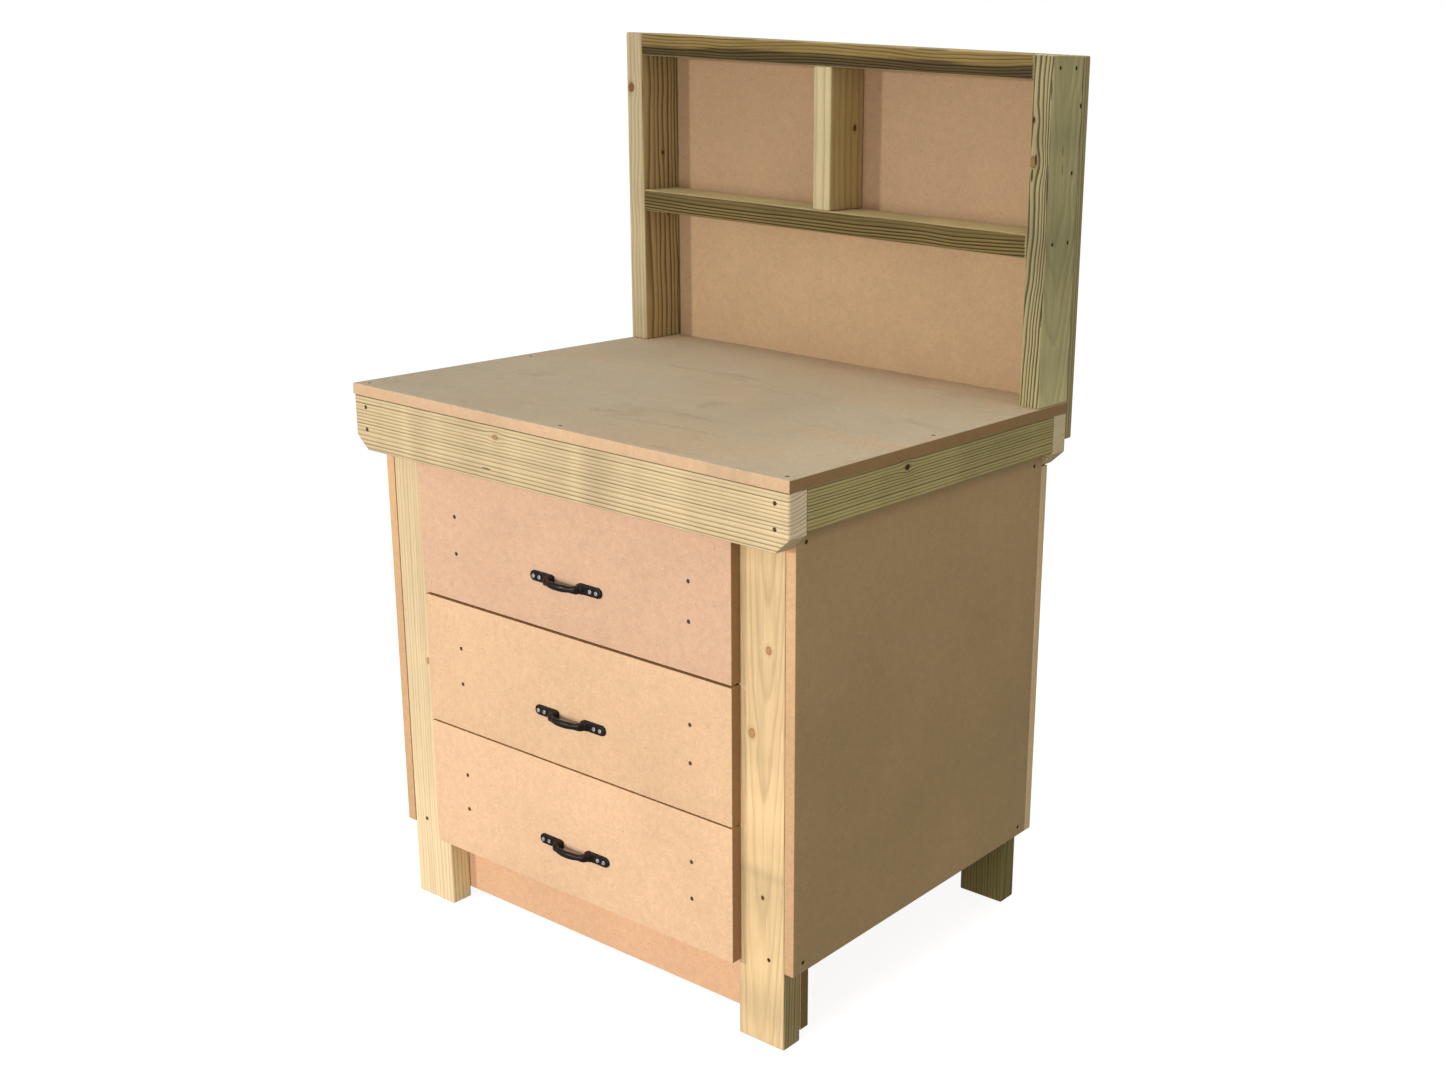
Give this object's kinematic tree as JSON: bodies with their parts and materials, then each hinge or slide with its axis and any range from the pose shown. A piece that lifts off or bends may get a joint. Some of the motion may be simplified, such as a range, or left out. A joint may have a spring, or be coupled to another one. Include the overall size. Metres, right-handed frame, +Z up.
{
  "type": "potting bench",
  "caption": "Free-standing timber and MDF bench: drawers on ball-bearing slides under an overhanging worktop, with an open shelf unit along the back.",
  "frame": {"origin": "on the floor, under the middle of the whole object (between the side edges of the worktop, and between the front of the handles and the back of the rear battens)", "axes": "+X to the right seen from the front, +Y from the drawer fronts towards the back, +Z up"},
  "size_m": [0.91, 0.7225, 1.45],
  "materials": {
    "treated_timber": "sawn and planed pressure-treated softwood, matt, unfinished",
    "mdf": "bare moisture-tan MDF, matt",
    "black_iron": "black japanned casting, satin",
    "zinc_steel": "zinc-plated rolled steel",
    "screw_steel": "steel screws, plated"
  },
  "bodies": {
    "bench": {"front_leg_left": "treated_timber", "rear_leg_left": "treated_timber", "side_rail_left": "treated_timber", "upright_left": "treated_timber", "back_batten_left": "treated_timber", "side_panel_left": "mdf", "front_leg_right": "treated_timber", "rear_leg_right": "treated_timber", "side_rail_right": "treated_timber", "upright_right": "treated_timber", "back_batten_right": "treated_timber", "side_panel_right": "mdf", "front_rail": "treated_timber", "back_rail": "treated_timber", "top_rail": "treated_timber", "shelf": "treated_timber", "shelf_divider": "treated_timber", "worktop": "mdf", "cabinet_back_panel": "mdf", "kick_board": "mdf", "shelf_back_panel": "mdf", "frame_screws": "screw_steel", "kick_board_screws": "screw_steel", "worktop_screws": "screw_steel", "cladding_screws": "screw_steel", "shelf_unit_screws": "screw_steel", "back_panel_screws": "screw_steel", "bottom_slide_outers": "zinc_steel", "middle_slide_outers": "zinc_steel", "top_slide_outers": "zinc_steel"},
    "bottom_drawer": {"bottom_drawer_front": "mdf", "bottom_drawer_side_left": "mdf", "bottom_drawer_side_right": "mdf", "bottom_drawer_inner_front": "mdf", "bottom_drawer_back": "mdf", "bottom_drawer_base": "mdf", "bottom_drawer_handle": "black_iron", "bottom_drawer_screws": "screw_steel", "bottom_slide_inners": "zinc_steel"},
    "bottom_slide_middle": {"bottom_slide_middles": "zinc_steel"},
    "middle_drawer": {"middle_drawer_front": "mdf", "middle_drawer_side_left": "mdf", "middle_drawer_side_right": "mdf", "middle_drawer_inner_front": "mdf", "middle_drawer_back": "mdf", "middle_drawer_base": "mdf", "middle_drawer_handle": "black_iron", "middle_drawer_screws": "screw_steel", "middle_slide_inners": "zinc_steel"},
    "middle_slide_middle": {"middle_slide_middles": "zinc_steel"},
    "top_drawer": {"top_drawer_front": "mdf", "top_drawer_side_left": "mdf", "top_drawer_side_right": "mdf", "top_drawer_inner_front": "mdf", "top_drawer_back": "mdf", "top_drawer_base": "mdf", "top_drawer_handle": "black_iron", "top_drawer_screws": "screw_steel", "top_slide_inners": "zinc_steel"},
    "top_slide_middle": {"top_slide_middles": "zinc_steel"}
  },
  "joints": [
    {"name": "bottom_drawer_slide", "type": "slide", "parent": "bench", "child": "bottom_drawer", "axis": [0, -1, 0], "range_m": [0, 0.6]},
    {"name": "bottom_slide_run", "type": "slide", "parent": "bench", "child": "bottom_slide_middle", "axis": [0, -1, 0], "range_m": [0, 0.3]},
    {"name": "middle_drawer_slide", "type": "slide", "parent": "bench", "child": "middle_drawer", "axis": [0, -1, 0], "range_m": [0, 0.6]},
    {"name": "middle_slide_run", "type": "slide", "parent": "bench", "child": "middle_slide_middle", "axis": [0, -1, 0], "range_m": [0, 0.3]},
    {"name": "top_drawer_slide", "type": "slide", "parent": "bench", "child": "top_drawer", "axis": [0, -1, 0], "range_m": [0, 0.6]},
    {"name": "top_slide_run", "type": "slide", "parent": "bench", "child": "top_slide_middle", "axis": [0, -1, 0], "range_m": [0, 0.3]}
  ],
  "couplings": [
    {"joint": "bottom_slide_run", "follows": "bottom_drawer_slide", "ratio": 0.5},
    {"joint": "middle_slide_run", "follows": "middle_drawer_slide", "ratio": 0.5},
    {"joint": "top_slide_run", "follows": "top_drawer_slide", "ratio": 0.5}
  ]
}
